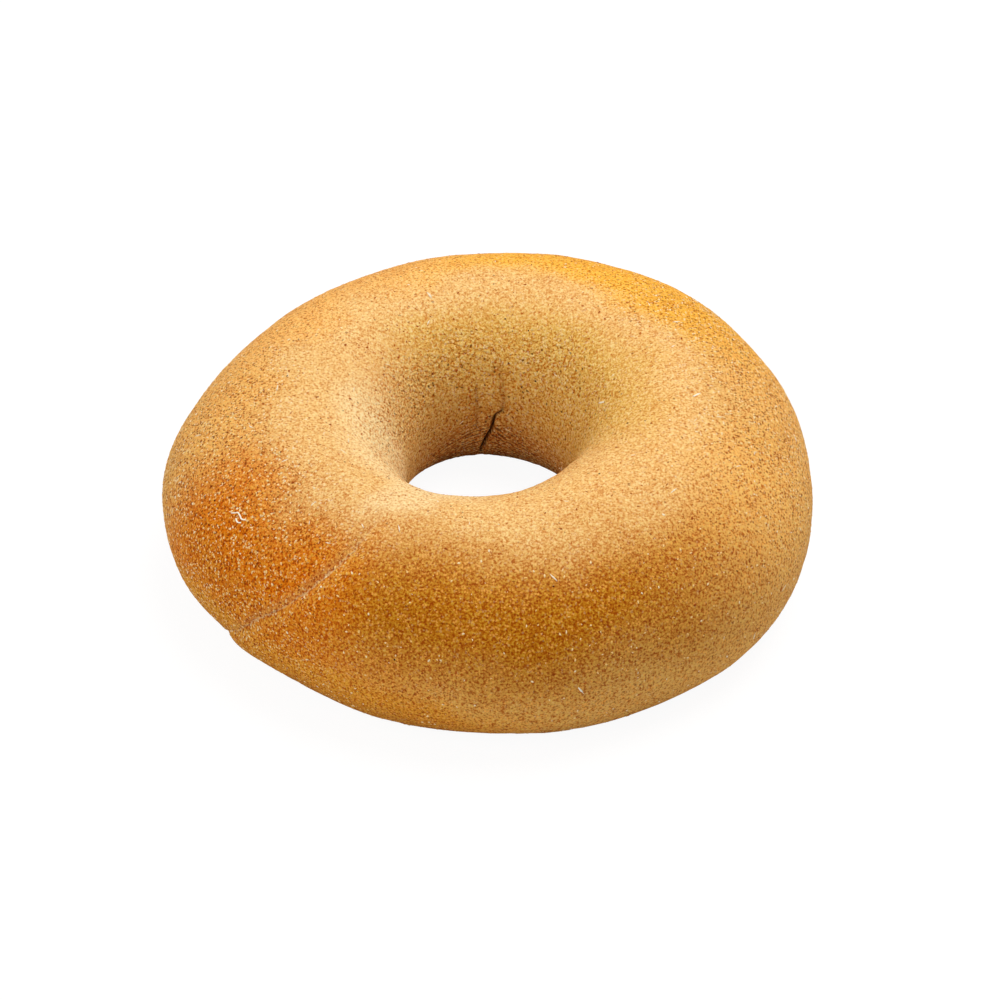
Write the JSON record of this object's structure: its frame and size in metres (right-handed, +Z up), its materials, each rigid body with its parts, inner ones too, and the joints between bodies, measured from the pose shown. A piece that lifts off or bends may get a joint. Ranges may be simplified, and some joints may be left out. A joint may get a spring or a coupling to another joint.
{
  "type": "multigrain bagel",
  "caption": "Round ring of baked bread dough with a flat base, a hole through its middle and a seam where the rolled ends lap.",
  "frame": {"origin": "middle of the box that the bagel fills, on the plane of its flat base", "axes": "+Z up through the hole; +X to the right and +Y away from the viewer, with the lapped seam at the front left"},
  "size_m": [0.1112, 0.1094, 0.0335],
  "materials": {
    "crust": "matte baked crust, golden tan, with fine bran flecks"
  },
  "bodies": {
    "root": {"bagel": "crust"}
  },
  "joints": []
}
